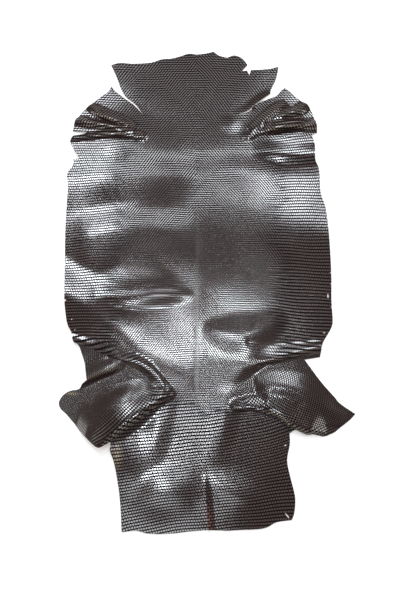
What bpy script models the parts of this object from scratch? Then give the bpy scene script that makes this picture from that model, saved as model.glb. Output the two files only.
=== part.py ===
"""A tanned reptile skin, laid scale side up: one sheet of leather, 82 cm from head to tail.

Run it with blender --background --python part.py, or from Blender's text editor.

The skin is written down as a leather worker would chalk it on a table. x is measured to the right of the
spine and y from the tail's cut end towards the head, in millimetres. The tables give the cut edge, then
the swells of the skin, then its creases. The sheet is filled inside its cut edge, folded by those tables,
given its thickness, and moved so that the middle of its box stands on the origin.
"""

import math
from collections import namedtuple
from itertools import chain

import bmesh
import bpy
import numpy as np
from mathutils import Vector
from mathutils.geometry import delaunay_2d_cdt

MM = 0.001

# Driving sizes, in millimetres
SKIN_THICKNESS = 1.2
OPEN_CELL = 18.0  # distance between the sheet's points in the open body
LEG_CELL = 9.0  # the same near the legs, where the skin is creased
EDGE_STEP = 12.0  # longest step along a curved cut edge
CREST_STEP = 9.0  # longest step along a crease
EDGE_ROOM = 4.4  # least distance from an inner point to the cut edge
CREASE_ROOM = 2.2  # least distance between points beside a crease
GRID_ROOM = 0.8  # share of a cell that the other inner points keep from each other
ROUNDNESS = 1.7  # how round a crest is: 1 is a knife edge, 2 a soft roll

# Rows of points beside a crest, as shares of its drop on the steep side and of its back behind it
STEEP_ROWS = (0, 0.35, 0.7, 1.05)
BACK_ROW = 0.3
LEAST_RISE = 1.0  # a crease lower than this, in millimetres, needs no rows of its own

# Parts of the skin that need the finer cell: y from, y to, and the least distance from the spine
Busy = namedtuple("Busy", "y_from y_to beyond")
BUSY = [
    Busy(600, 725, 45),
    Busy(120, 285, 35),
]

# The cut edge, clockwise seen from above, starting at the head's left corner.
# bend is "corner" where the knife turned and "round" where the edge runs on in a curve.
Cut = namedtuple("Cut", "x y bend")

HEAD_EDGE = [
    Cut(-155, 788, "corner"),
    Cut(-139, 793, "round"),
    Cut(-117, 791, "round"),
    Cut(-84, 793, "round"),
    Cut(-65, 800, "round"),
    Cut(-47, 802, "round"),
    Cut(-31, 807, "round"),
    Cut(-15, 813, "round"),
    Cut(-2, 811, "round"),
    Cut(15, 813, "round"),
    Cut(29, 817, "corner"),
    Cut(40, 808, "round"),
    Cut(54, 804, "corner"),
    Cut(67, 809, "round"),
    Cut(81, 802, "round"),
    Cut(90, 788, "corner"),
    Cut(79, 775, "corner"),
    Cut(89, 776, "corner"),
    Cut(93, 766, "corner"),
    Cut(96, 777, "corner"),
    Cut(126, 779, "round"),
    Cut(146, 784, "corner"),
    Cut(140, 758, "round"),
    Cut(130, 735, "corner"),
    Cut(129, 727, "corner"),
    Cut(117, 717, "round"),
    Cut(100, 703, "round"),
    Cut(89, 692, "round"),
    Cut(66, 683, "corner"),
]

RIGHT_FRONT_LEG_EDGE = [
    Cut(91, 688, "round"),
    Cut(103, 699, "round"),
    Cut(123, 715, "round"),
    Cut(139, 722, "round"),
    Cut(149, 734, "round"),
    Cut(155, 739, "corner"),
    Cut(161, 734, "round"),
    Cut(173, 721, "round"),
    Cut(186, 708, "round"),
    Cut(197, 697, "round"),
    Cut(203, 678, "round"),
    Cut(205, 660, "corner"),
    Cut(207, 647, "corner"),
]

RIGHT_FLANK_EDGE = [
    Cut(197, 643, "corner"),
    Cut(201, 623, "round"),
    Cut(200, 595, "round"),
    Cut(206, 575, "round"),
    Cut(206, 533, "round"),
    Cut(212, 504, "round"),
    Cut(214, 461, "round"),
    Cut(214, 415, "round"),
    Cut(213, 377, "round"),
    Cut(211, 344, "round"),
    Cut(211, 311, "round"),
    Cut(208, 298, "round"),
    Cut(198, 282, "round"),
    Cut(190, 268, "corner"),
    Cut(188, 252, "corner"),
    Cut(164, 248, "corner"),
]

RIGHT_HIND_LEG_EDGE = [
    Cut(170, 239, "round"),
    Cut(189, 211, "round"),
    Cut(206, 190, "round"),
    Cut(213, 181, "round"),
    Cut(235, 166, "corner"),
    Cut(226, 157, "round"),
    Cut(211, 146, "round"),
    Cut(200, 138, "round"),
    Cut(185, 134, "round"),
    Cut(170, 137, "round"),
    Cut(148, 145, "corner"),
]

TAIL_EDGE = [
    Cut(136, 138, "corner"),
    Cut(136, 123, "round"),
    Cut(131, 99, "round"),
    Cut(135, 74, "round"),
    Cut(140, 49, "round"),
    Cut(138, 28, "round"),
    Cut(134, 18, "corner"),
    Cut(112, 15, "round"),
    Cut(94, 7, "round"),
    Cut(60, 5, "round"),
    Cut(41, 4, "round"),
    Cut(18, 5, "corner"),
    Cut(16.5, 34, "round"),
    Cut(14, 58, "round"),
    Cut(10.5, 76, "corner"),
    Cut(13.2, 58, "round"),
    Cut(15.7, 34, "round"),
    Cut(17.2, 5, "corner"),
    Cut(-10, 3, "round"),
    Cut(-38, 0, "round"),
    Cut(-67, 0, "round"),
    Cut(-85, 4, "round"),
    Cut(-105, 2, "corner"),
    Cut(-108, 35, "round"),
    Cut(-112, 63, "round"),
    Cut(-119, 95, "round"),
    Cut(-126, 113, "round"),
    Cut(-125, 124, "corner"),
]

LEFT_HIND_LEG_EDGE = [
    Cut(-137, 128, "corner"),
    Cut(-145, 121, "round"),
    Cut(-153, 124, "round"),
    Cut(-165, 135, "round"),
    Cut(-181, 152, "round"),
    Cut(-194, 166, "round"),
    Cut(-202, 173, "round"),
    Cut(-206, 182, "round"),
    Cut(-201, 193, "round"),
    Cut(-191, 200, "round"),
    Cut(-177, 203, "round"),
    Cut(-173, 211, "round"),
    Cut(-166, 218, "corner"),
    Cut(-167, 224, "corner"),
    Cut(-171, 243, "round"),
    Cut(-179, 266, "corner"),
]

LEFT_FLANK_EDGE = [
    Cut(-187, 279, "corner"),
    Cut(-190, 286, "round"),
    Cut(-200, 303, "round"),
    Cut(-205, 328, "round"),
    Cut(-207, 344, "round"),
    Cut(-212, 408, "round"),
    Cut(-215, 459, "round"),
    Cut(-216, 502, "round"),
    Cut(-216, 547, "round"),
    Cut(-219, 560, "round"),
    Cut(-217, 571, "round"),
    Cut(-210, 582, "round"),
    Cut(-210, 594, "corner"),
    Cut(-200, 595, "corner"),
    Cut(-203, 601, "round"),
    Cut(-211, 614, "round"),
    Cut(-218, 629, "corner"),
    Cut(-213, 640, "corner"),
    Cut(-191, 643.5, "corner"),
]

LEFT_FRONT_LEG_EDGE = [
    Cut(-200, 648, "round"),
    Cut(-215, 650, "corner"),
    Cut(-214, 660, "round"),
    Cut(-209, 673, "round"),
    Cut(-199, 691, "round"),
    Cut(-184, 707, "round"),
    Cut(-171, 720, "round"),
    Cut(-165, 725, "corner"),
    Cut(-158, 731, "round"),
    Cut(-152, 743, "corner"),
    Cut(-147, 734, "round"),
    Cut(-130, 719, "round"),
    Cut(-110, 702, "round"),
    Cut(-93, 681, "corner"),
    Cut(-107, 703, "round"),
    Cut(-126, 721, "round"),
    Cut(-135, 737, "round"),
    Cut(-144, 762, "round"),
]

CUT_EDGE = (
    HEAD_EDGE
    + RIGHT_FRONT_LEG_EDGE
    + RIGHT_FLANK_EDGE
    + RIGHT_HIND_LEG_EDGE
    + TAIL_EDGE
    + LEFT_HIND_LEG_EDGE
    + LEFT_FLANK_EDGE
    + LEFT_FRONT_LEG_EDGE
)

# Swells: where the dried skin stands off the table without a crease. reach_x and reach_y are half the
# length and half the width of the swell, turn is its turn in degrees, and rise is its height.
Swell = namedtuple("Swell", "x y reach_x reach_y turn rise")

SWELLS = [
    Swell(-140, 655, 80, 60, 0, 2),  # behind the left front leg
    Swell(150, 655, 70, 60, 0, 3),  # behind the right front leg
    Swell(55, 665, 26, 22, -30, 1.2),  # end of the right neck slit
    Swell(-90, 366, 78, 40, -4, 3),  # beside the left loin
    Swell(-44, 52, 60, 46, 20, 2),  # tail
    Swell(62, 44, 72, 50, -10, 2),
    Swell(-112, 172, 80, 40, 34, 13),  # left thigh
]

# Creases: each runs along its crest, with the steep side on the left hand. rise is the height of the
# crest, back the width of the slope behind it, and drop the width of the slope on its steep side. lean is
# how far the crest hangs over towards its steep side, so that skin lies over skin where lean passes drop.
Crest = namedtuple("Crest", "x y rise back drop lean")

CREASES = {
    "right hip": [
        Crest(196, 267, 5, 24, 13, 0),
        Crest(165, 259, 5.5, 26, 12, 5),
        Crest(144, 253, 6, 28, 12, 8),
        Crest(117, 246, 5.5, 28, 12, 9),
        Crest(97, 241, 4.5, 28, 12, 8),
        Crest(80, 238, 3, 26, 14, 3),
        Crest(58, 239, 2, 26, 20, 0),
        Crest(28, 240, 1.5, 26, 26, 0),
        Crest(-10, 236, 0, 20, 26, 0),
    ],
    "left hip": [
        Crest(-42, 188, 0, 10, 12, 0),
        Crest(-48, 206, 1.5, 10, 13, 0),
        Crest(-65, 226, 2, 10, 13, 1),
        Crest(-87, 240, 2.5, 10, 12, 4),
        Crest(-119, 249, 3, 9, 11, 8),
        Crest(-143, 258, 3, 8, 10, 9),
        Crest(-162, 267, 3, 8, 9, 8),
        Crest(-194, 279, 2.5, 8, 9, 5),
    ],
    "left shin": [
        Crest(-108, 241, 0, 14, 10, 0),
        Crest(-119, 238, 6, 16, 12, 3),
        Crest(-130, 231, 9, 20, 13, 5),
        Crest(-144, 226, 10, 22, 13, 5),
        Crest(-174, 214, 8, 22, 13, 2),
    ],
    "left leg over tail": [
        Crest(-36, 203, 0, 14, 10, 0),
        Crest(-46, 189, 4, 16, 11, 5),
        Crest(-73, 167, 7, 18, 12, 11),
        Crest(-105, 144, 8, 18, 12, 12),
        Crest(-129, 125, 7, 18, 12, 10),
        Crest(-143, 113, 5, 18, 12, 6),
    ],
    "right leg over tail": [
        Crest(160, 139, 12, 34, 13, 7),
        Crest(137, 149, 11, 30, 12, 11),
        Crest(123, 160, 9, 24, 12, 11),
        Crest(107, 166, 7, 20, 11, 10),
        Crest(85, 172, 5, 16, 9, 8),
        Crest(61, 173, 3, 14, 8, 4),
        Crest(48, 172, 0, 12, 8, 0),
    ],
    "right front leg over flank": [
        Crest(212, 662, 9, 16, 13, 0),
        Crest(190, 656, 9, 16, 13, 3),
        Crest(171, 652, 9, 16, 12, 9),
        Crest(144, 649, 8, 16, 11, 10),
        Crest(112, 644, 6, 14, 11, 8),
        Crest(92, 638, 3, 12, 10, 3),
        Crest(76, 634, 0, 12, 10, 0),
    ],
    "left armpit": [
        Crest(-86, 634, 0, 12, 9, 0),
        Crest(-100, 635, 4, 12, 10, 3),
        Crest(-128, 637, 6, 12, 10, 8),
        Crest(-153, 637, 6, 10, 9, 7),
        Crest(-180, 635, 5, 8, 9, 4),
        Crest(-220, 634, 3, 7, 9, 0),
    ],
    "left pleat by the neck": [
        Crest(-104, 650, 0, 12, 8, 0),
        Crest(-123, 659, 6, 14, 8, 2),
        Crest(-155, 671, 9, 16, 9, 5),
        Crest(-172, 681, 7, 16, 9, 4),
        Crest(-184, 694, 3, 14, 9, 1),
        Crest(-196, 704, 0, 12, 9, 0),
    ],
    "left pleat to the toes": [
        Crest(-100, 648, 0, 8, 8, 0),
        Crest(-125, 651, 5, 9, 8, 1),
        Crest(-165, 658, 7, 11, 9, 2),
        Crest(-222, 671, 6, 14, 11, 1),
    ],
    "right pleat by the neck": [
        Crest(160, 704, 0, 14, 10, 0),
        Crest(142, 692, 5, 14, 9, 2),
        Crest(117, 669, 6, 14, 9, 2),
        Crest(98, 656, 3, 12, 9, 0),
        Crest(86, 650, 0, 10, 8, 0),
    ],
    "right middle pleat": [
        Crest(194, 708, 3, 14, 11, 0),
        Crest(180, 690, 6, 14, 10, 1),
        Crest(152, 679, 6, 12, 9, 2),
        Crest(132, 672, 0, 10, 8, 0),
    ],
    "right lower pleat": [
        Crest(186, 668, 0, 9, 7, 0),
        Crest(171, 665, 5, 9, 7, 1),
        Crest(144, 661, 6, 9, 7, 2),
        Crest(122, 654, 0, 8, 7, 0),
    ],
}

# Ridges: broad soft folds, written like creases. They need no rows of points of their own.
RIDGES = {
    "neck": [
        Crest(250, 606, 2, 70, 50, 0),
        Crest(120, 612, 2, 70, 50, 0),
        Crest(0, 614, 1.5, 70, 50, 0),
        Crest(-120, 620, 1.5, 70, 50, 0),
        Crest(-250, 624, 1.5, 70, 50, 0),
    ],
    "left loin to hip": [
        Crest(-20, 205, 0, 60, 30, 0),
        Crest(-48, 229, 2, 80, 40, 0),
        Crest(-103, 271, 5, 90, 66, 0),
        Crest(-135, 303, 7, 76, 88, 0),
        Crest(-197, 341, 8, 64, 100, 0),
        Crest(-240, 364, 8, 64, 100, 0),
    ],
    "left loin": [
        Crest(-4, 352, 0, 14, 12, 0),
        Crest(-50, 350, 2, 16, 20, 0),
        Crest(-110, 345, 2, 16, 20, 0),
        Crest(-160, 350, 0, 14, 12, 0),
    ],
    "right loin": [
        Crest(120, 342, 0, 12, 10, 0),
        Crest(95, 338, 0.8, 14, 16, 0),
        Crest(60, 333, 2, 15, 26, 0),
        Crest(36, 324, 2.4, 15, 30, 0),
        Crest(16, 314, 1.6, 15, 26, 0),
        Crest(-2, 305, 0, 12, 16, 0),
    ],
    "left flank": [
        Crest(10, 458, 0, 40, 120, 0),
        Crest(-30, 458, 2, 50, 200, 0),
        Crest(-110, 464, 3, 56, 200, 0),
        Crest(-170, 450, 3, 56, 200, 0),
        Crest(-204, 444, 1, 50, 200, 0),
        Crest(-240, 440, 0, 50, 200, 0),
    ],
    "left shoulder": [
        Crest(0, 566, 0, 80, 40, 0),
        Crest(-60, 566, 3, 120, 70, 0),
        Crest(-240, 560, 3, 120, 70, 0),
    ],
    "right shoulder": [
        Crest(212, 604, 3, 30, 22, 0),
        Crest(160, 602, 3, 30, 22, 0),
        Crest(125, 606, 2, 26, 20, 0),
        Crest(95, 612, 0, 20, 14, 0),
    ],
    "right flank": [
        Crest(250, 440, 4, 130, 200, 0),
        Crest(190, 448, 4, 120, 200, 0),
        Crest(120, 470, 3, 110, 200, 0),
        Crest(60, 508, 2, 90, 180, 0),
        Crest(10, 545, 0, 60, 120, 0),
    ],
    "right thigh": [
        Crest(88, 199, 0, 30, 24, 0),
        Crest(108, 204, 6, 42, 34, 0),
        Crest(148, 197, 8, 44, 38, 0),
        Crest(180, 181, 7, 36, 32, 0),
        Crest(205, 169, 3, 26, 24, 0),
        Crest(222, 160, 0, 20, 20, 0),
    ],
    "tail left": [
        Crest(-150, 30, 0, 80, 20, 0),
        Crest(-158, 80, 8, 96, 20, 0),
        Crest(-160, 120, 9, 98, 20, 0),
        Crest(-160, 150, 5, 96, 20, 0),
        Crest(-155, 185, 0, 80, 20, 0),
    ],
}


def curve_through(rows, step):
    """The rows' numbers at places not more than step apart, on a smooth curve through all of them."""
    rows = np.array(rows, dtype=float)
    padded = np.vstack([2 * rows[0] - rows[1], rows, 2 * rows[-1] - rows[-2]])
    places = []
    for before, start, end, after in zip(padded, padded[1:], padded[2:], padded[3:]):
        pieces = max(1, math.ceil(np.hypot(*(end - start)[:2]) / step))
        for share in np.arange(pieces) / pieces:
            pull = 2 * start + (end - before) * share
            bow = (2 * before - 5 * start + 4 * end - after) * share**2
            turn = (3 * start - before - 3 * end + after) * share**3
            places.append((pull + bow + turn) / 2)
    places.append(rows[-1])
    return np.array(places)


def cut_edge_points():
    """The cut edge as one closed ring: curves between the corners, straight where two corners meet."""
    corners = [i for i, cut in enumerate(CUT_EDGE) if cut.bend == "corner"]
    ring = []
    for first, last in zip(corners, corners[1:] + [corners[0] + len(CUT_EDGE)]):
        run = [CUT_EDGE[i % len(CUT_EDGE)][:2] for i in range(first, last + 1)]
        ring.extend(curve_through(run, EDGE_STEP)[:-1])
    return np.array(ring)


def crest_line(rows):
    """A crease's crest before it leans: its places, its left-hand direction and its other columns."""
    line = curve_through(rows, CREST_STEP)
    heading = np.gradient(line[:, :2], axis=0)
    heading /= np.linalg.norm(heading, axis=1, keepdims=True)
    left = np.column_stack([-heading[:, 1], heading[:, 0]])
    flat = line.copy()
    flat[:, :2] -= left * line[:, 5:6]
    return flat, left


def lift_swell(x, y, swell):
    """The height that one swell gives at each place: full in the middle, none past its rim."""
    turn = math.radians(swell.turn)
    along = (x - swell.x) * math.cos(turn) + (y - swell.y) * math.sin(turn)
    across = (y - swell.y) * math.cos(turn) - (x - swell.x) * math.sin(turn)
    spread = (along / swell.reach_x) ** 2 + (across / swell.reach_y) ** 2
    return swell.rise * np.clip(1 - spread, 0, None) ** 2


def fold_crease(x, y, rows):
    """How far one crease moves each place: sideways in x and y, and up."""
    flat, left = crest_line(rows)
    starts = flat[:-1, :2]
    steps = flat[1:, :2] - starts
    from_start = np.stack([x, y], axis=-1)[:, None, :] - starts
    share = np.clip((from_start * steps).sum(-1) / (steps**2).sum(-1), 0, 1)
    off_crest = from_start - share[..., None] * steps
    nearest = np.linalg.norm(off_crest, axis=-1).argmin(axis=1)
    place = np.arange(len(x))
    share = share[place, nearest][:, None]
    off_crest = off_crest[place, nearest]
    row = flat[nearest] * (1 - share) + flat[nearest + 1] * share
    side = left[nearest] * (1 - share) + left[nearest + 1] * share
    rise, back, drop, lean = row[:, 2:].T
    distance = np.linalg.norm(off_crest, axis=1)
    on_steep_side = (off_crest * side).sum(axis=1) > 0
    reach = np.clip(distance / np.where(on_steep_side, drop, back), 0, 1)
    weight = (1 - reach**ROUNDNESS) ** 2
    return lean * weight * side[:, 0], lean * weight * side[:, 1], rise * weight


def lay_down(points):
    """Flat places of the cut skin to their places on the table, swollen and creased."""
    x, y = points[:, 0], points[:, 1]
    laid = np.column_stack([x, y, np.zeros(len(x))])
    for swell in SWELLS:
        laid[:, 2] += lift_swell(x, y, swell)
    for rows in chain(RIDGES.values(), CREASES.values()):
        laid += np.column_stack(fold_crease(x, y, rows))
    return laid


def cell_at(x, y):
    """The distance between points wanted at a place."""
    busy = any(row.y_from < y < row.y_to and abs(x) > row.beyond for row in BUSY)
    return LEG_CELL if busy else OPEN_CELL


def crease_points():
    """Points in rows beside each crest, so that the sheet bends along it, each with the room it keeps."""
    for rows in CREASES.values():
        for place, side in zip(*crest_line(rows)):
            x, y, rise, back, drop, lean = place
            if rise < LEAST_RISE:
                continue
            for share in STEEP_ROWS:
                yield place[:2] + side * drop * share, CREASE_ROOM
            yield place[:2] - side * back * BACK_ROW, CREASE_ROOM


def grid_points(ring):
    """Points in offset rows over the whole skin, finer where it is busy, each with the room it keeps."""
    (left, bottom), (right, top) = ring.min(axis=0), ring.max(axis=0)
    for cell in (LEG_CELL, OPEN_CELL):
        for row, y in enumerate(np.arange(bottom, top, cell * math.sqrt(3) / 2)):
            for x in np.arange(left + row % 2 * cell / 2, right, cell):
                if cell_at(x, y) == cell:
                    yield np.array([x, y]), GRID_ROOM * cell


def inside(point, ring):
    """Whether a place lies inside the ring of the cut edge."""
    start, end = ring, np.roll(ring, -1, axis=0)
    crosses = (start[:, 1] > point[1]) != (end[:, 1] > point[1])
    start, end = start[crosses], end[crosses]
    at = start[:, 0] + (point[1] - start[:, 1]) * (end[:, 0] - start[:, 0]) / (end[:, 1] - start[:, 1])
    return (at > point[0]).sum() % 2 == 1


def edge_distance(point, ring):
    """The distance from a place to the cut edge."""
    step = np.roll(ring, -1, axis=0) - ring
    share = np.clip(((point - ring) * step).sum(axis=1) / (step**2).sum(axis=1), 0, 1)
    return np.linalg.norm(point - ring - share[:, None] * step, axis=1).min()


def sheet_points(ring):
    """The points inside the cut edge, the creases' own first, none crowding another."""
    kept = np.empty((0, 2))
    for point, room in chain(crease_points(), grid_points(ring)):
        if not inside(point, ring) or edge_distance(point, ring) < EDGE_ROOM:
            continue
        if np.linalg.norm(kept - point, axis=1).min(initial=math.inf) >= room:
            kept = np.vstack([kept, point])
    return kept


def fill_sheet():
    """The flat skin as triangles: the cut edge's ring, filled round the points inside it."""
    ring = cut_edge_points()
    places = [Vector(place) for place in np.vstack([ring, sheet_points(ring)])]
    counterclockwise = list(reversed(range(len(ring))))
    inside_only, weld = 1, 1e-4
    flat, _, triangles, *_ = delaunay_2d_cdt(places, [], [counterclockwise], inside_only, weld)
    return np.array([tuple(place) for place in flat]), triangles


def leather():
    """Brown-black glazed leather."""
    material = bpy.data.materials.new("leather")
    material.use_nodes = True
    shader = material.node_tree.nodes["Principled BSDF"]
    shader.inputs["Base Color"].default_value = (0.035, 0.028, 0.026, 1)
    shader.inputs["Roughness"].default_value = 0.32
    shader.inputs["Metallic"].default_value = 0
    return material


def make_hide():
    """The skin: filled, laid down, moved over the origin and given its thickness."""
    flat, triangles = fill_sheet()
    laid = lay_down(flat)
    middle = (laid.min(axis=0) + laid.max(axis=0)) / 2
    middle[2] = 0
    bm = bmesh.new()
    verts = [bm.verts.new(place) for place in (laid - middle) * MM]
    for triangle in triangles:
        bm.faces.new([verts[i] for i in triangle])
    for edge in bm.edges:
        edge.smooth = not edge.is_boundary
    bmesh.ops.recalc_face_normals(bm, faces=bm.faces)
    if sum(face.normal.z for face in bm.faces) < 0:
        bmesh.ops.reverse_faces(bm, faces=bm.faces)
    mesh = bpy.data.meshes.new("hide")
    bm.to_mesh(mesh)
    bm.free()
    mesh.shade_smooth()
    hide = bpy.data.objects.new("hide", mesh)
    bpy.context.collection.objects.link(hide)
    hide.data.materials.append(leather())
    thicken = hide.modifiers.new("thickness", "SOLIDIFY")
    thicken.thickness = SKIN_THICKNESS * MM
    thicken.offset = 1
    return hide


def main():
    for old in list(bpy.data.objects):
        bpy.data.objects.remove(old, do_unlink=True)
    make_hide()


main()
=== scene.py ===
# %% [markdown]
# # A whole lizard skin, tanned, dyed brown-black and glazed
#
# The real object is one piece of leather, 82 cm from head to tail, that lies scale side up. Nothing is sewn
# to it. What makes it look like itself is its knife-cut edge, the way the dried legs fold and pleat, the soft
# swells of the body, and the scales: beads in slanting rows over the back, long tiles in level rows along the
# flanks and the tail, and a coarse net on the hind legs.
#
# The steps: write down the cut, slice it into a fine sheet, open its pin holes, fold it as it lies, map the
# rows of scales over it, give it its thickness and its finishes, and light it.

import math
from collections import namedtuple

import bmesh
import bpy
import numpy as np
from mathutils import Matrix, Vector


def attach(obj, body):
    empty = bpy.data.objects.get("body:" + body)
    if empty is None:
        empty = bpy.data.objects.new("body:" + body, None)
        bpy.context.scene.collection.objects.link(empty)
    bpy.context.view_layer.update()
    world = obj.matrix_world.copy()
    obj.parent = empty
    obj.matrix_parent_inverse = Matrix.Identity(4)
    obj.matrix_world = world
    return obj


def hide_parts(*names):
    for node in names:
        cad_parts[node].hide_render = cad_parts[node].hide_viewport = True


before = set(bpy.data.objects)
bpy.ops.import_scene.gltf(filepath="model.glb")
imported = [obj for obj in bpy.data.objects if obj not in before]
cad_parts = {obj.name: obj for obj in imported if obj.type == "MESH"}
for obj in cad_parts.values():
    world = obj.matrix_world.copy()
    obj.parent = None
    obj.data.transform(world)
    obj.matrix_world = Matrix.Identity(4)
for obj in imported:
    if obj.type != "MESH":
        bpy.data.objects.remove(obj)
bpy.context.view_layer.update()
print("nodes of the packed part:", sorted(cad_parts))

# %% [markdown]
# ## The cut edge
#
# A leather worker would chalk the skin on a table, so the outline is written the same way: x is measured to
# the right of the spine and y from the tail's cut end towards the head, in millimetres. A traced curve would
# need thousands of points. A short table with a note of where the knife turned needs few, and the curve
# between them is computed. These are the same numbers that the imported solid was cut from.

# %% Sizes, in millimetres unless said otherwise
MM = 0.001  # metres in one
SKIN_THICKNESS = 1.2
CELL = 2.6  # the sheet's square cells: small enough that a fold 8 mm wide is round
EDGE_STEP = 5.0  # longest step along a curved cut edge
CREST_STEP = 5.0  # longest step along a crease
ROUNDNESS = 1.7  # how round a crest is: 1 is a knife edge, 2 a soft roll

# %% The cut edge, clockwise seen from above, starting at the head's left corner
# bend is "corner" where the knife turned and "round" where the edge runs on in a curve.
Cut = namedtuple("Cut", "x y bend")

HEAD_EDGE = [
    Cut(-155, 788, "corner"),
    Cut(-139, 793, "round"),
    Cut(-117, 791, "round"),
    Cut(-84, 793, "round"),
    Cut(-65, 800, "round"),
    Cut(-47, 802, "round"),
    Cut(-31, 807, "round"),
    Cut(-15, 813, "round"),
    Cut(-2, 811, "round"),
    Cut(15, 813, "round"),
    Cut(29, 817, "corner"),
    Cut(40, 808, "round"),
    Cut(54, 804, "corner"),
    Cut(67, 809, "round"),
    Cut(81, 802, "round"),
    Cut(90, 788, "corner"),
    Cut(79, 775, "corner"),
    Cut(89, 776, "corner"),
    Cut(93, 766, "corner"),
    Cut(96, 777, "corner"),
    Cut(126, 779, "round"),
    Cut(146, 784, "corner"),
    Cut(140, 758, "round"),
    Cut(130, 735, "corner"),
    Cut(129, 727, "corner"),
    Cut(117, 717, "round"),
    Cut(100, 703, "round"),
    Cut(89, 692, "round"),
    Cut(66, 683, "corner"),
]

# %% Down the right side: front leg, flank and hind leg
RIGHT_FRONT_LEG_EDGE = [
    Cut(91, 688, "round"),
    Cut(103, 699, "round"),
    Cut(123, 715, "round"),
    Cut(139, 722, "round"),
    Cut(149, 734, "round"),
    Cut(155, 739, "corner"),
    Cut(161, 734, "round"),
    Cut(173, 721, "round"),
    Cut(186, 708, "round"),
    Cut(197, 697, "round"),
    Cut(203, 678, "round"),
    Cut(205, 660, "corner"),
    Cut(207, 647, "corner"),
]

RIGHT_FLANK_EDGE = [
    Cut(197, 643, "corner"),
    Cut(201, 623, "round"),
    Cut(200, 595, "round"),
    Cut(206, 575, "round"),
    Cut(206, 533, "round"),
    Cut(212, 504, "round"),
    Cut(214, 461, "round"),
    Cut(214, 415, "round"),
    Cut(213, 377, "round"),
    Cut(211, 344, "round"),
    Cut(211, 311, "round"),
    Cut(208, 298, "round"),
    Cut(198, 282, "round"),
    Cut(190, 268, "corner"),
    Cut(188, 252, "corner"),
    Cut(164, 248, "corner"),
]

RIGHT_HIND_LEG_EDGE = [
    Cut(170, 239, "round"),
    Cut(189, 211, "round"),
    Cut(206, 190, "round"),
    Cut(213, 181, "round"),
    Cut(235, 166, "corner"),
    Cut(226, 157, "round"),
    Cut(211, 146, "round"),
    Cut(200, 138, "round"),
    Cut(185, 134, "round"),
    Cut(170, 137, "round"),
    Cut(148, 145, "corner"),
]

# %% Round the tail, with the slit in its end
TAIL_EDGE = [
    Cut(136, 138, "corner"),
    Cut(136, 123, "round"),
    Cut(131, 99, "round"),
    Cut(135, 74, "round"),
    Cut(140, 49, "round"),
    Cut(138, 28, "round"),
    Cut(134, 18, "corner"),
    Cut(112, 15, "round"),
    Cut(94, 7, "round"),
    Cut(60, 5, "round"),
    Cut(41, 4, "round"),
    Cut(18, 5, "corner"),
    Cut(16.5, 34, "round"),
    Cut(14, 58, "round"),
    Cut(10.5, 76, "corner"),
    Cut(13.2, 58, "round"),
    Cut(15.7, 34, "round"),
    Cut(17.2, 5, "corner"),
    Cut(-10, 3, "round"),
    Cut(-38, 0, "round"),
    Cut(-67, 0, "round"),
    Cut(-85, 4, "round"),
    Cut(-105, 2, "corner"),
    Cut(-108, 35, "round"),
    Cut(-112, 63, "round"),
    Cut(-119, 95, "round"),
    Cut(-126, 113, "round"),
    Cut(-125, 124, "corner"),
]

# %% Back up the left side
LEFT_HIND_LEG_EDGE = [
    Cut(-137, 128, "corner"),
    Cut(-145, 121, "round"),
    Cut(-153, 124, "round"),
    Cut(-165, 135, "round"),
    Cut(-181, 152, "round"),
    Cut(-194, 166, "round"),
    Cut(-202, 173, "round"),
    Cut(-206, 182, "round"),
    Cut(-201, 193, "round"),
    Cut(-191, 200, "round"),
    Cut(-177, 203, "round"),
    Cut(-173, 211, "round"),
    Cut(-166, 218, "corner"),
    Cut(-167, 224, "corner"),
    Cut(-171, 243, "round"),
    Cut(-179, 266, "corner"),
]

LEFT_FLANK_EDGE = [
    Cut(-187, 279, "corner"),
    Cut(-190, 286, "round"),
    Cut(-200, 303, "round"),
    Cut(-205, 328, "round"),
    Cut(-207, 344, "round"),
    Cut(-212, 408, "round"),
    Cut(-215, 459, "round"),
    Cut(-216, 502, "round"),
    Cut(-216, 547, "round"),
    Cut(-219, 560, "round"),
    Cut(-217, 571, "round"),
    Cut(-210, 582, "round"),
    Cut(-210, 594, "corner"),
    Cut(-200, 595, "corner"),
    Cut(-203, 601, "round"),
    Cut(-211, 614, "round"),
    Cut(-218, 629, "corner"),
    Cut(-213, 640, "corner"),
    Cut(-191, 643.5, "corner"),
]

LEFT_FRONT_LEG_EDGE = [
    Cut(-200, 648, "round"),
    Cut(-215, 650, "corner"),
    Cut(-214, 660, "round"),
    Cut(-209, 673, "round"),
    Cut(-199, 691, "round"),
    Cut(-184, 707, "round"),
    Cut(-171, 720, "round"),
    Cut(-165, 725, "corner"),
    Cut(-158, 731, "round"),
    Cut(-152, 743, "corner"),
    Cut(-147, 734, "round"),
    Cut(-130, 719, "round"),
    Cut(-110, 702, "round"),
    Cut(-93, 681, "corner"),
    Cut(-107, 703, "round"),
    Cut(-126, 721, "round"),
    Cut(-135, 737, "round"),
    Cut(-144, 762, "round"),
]

# %% The whole edge
RIGHT_SIDE = RIGHT_FRONT_LEG_EDGE + RIGHT_FLANK_EDGE + RIGHT_HIND_LEG_EDGE
LEFT_SIDE = LEFT_HIND_LEG_EDGE + LEFT_FLANK_EDGE + LEFT_FRONT_LEG_EDGE
CUT_EDGE = HEAD_EDGE + RIGHT_SIDE + TAIL_EDGE + LEFT_SIDE
print("rows in the table of the cut edge:", len(CUT_EDGE))

# %% [markdown]
# ## The folds, as tables
#
# Dried leather stands off the table in three ways. A swell is a low mound without a crease. A crease has a
# crest with a steep side, as where a leg folds under. A ridge is a crease so wide and soft that only its
# shine shows. Each is a few rows in the flat cut's own millimetres, so it can be found and moved by hand. The
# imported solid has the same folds. Only the ridge of the right loin and the fold of the right hip have other
# slopes here, up to about 3 mm of height away, to catch the light as the real ones do.

# %% Swells
# reach_x and reach_y are half the swell's length and half its width, turn is in degrees, rise is its height.
Swell = namedtuple("Swell", "x y reach_x reach_y turn rise")

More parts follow.
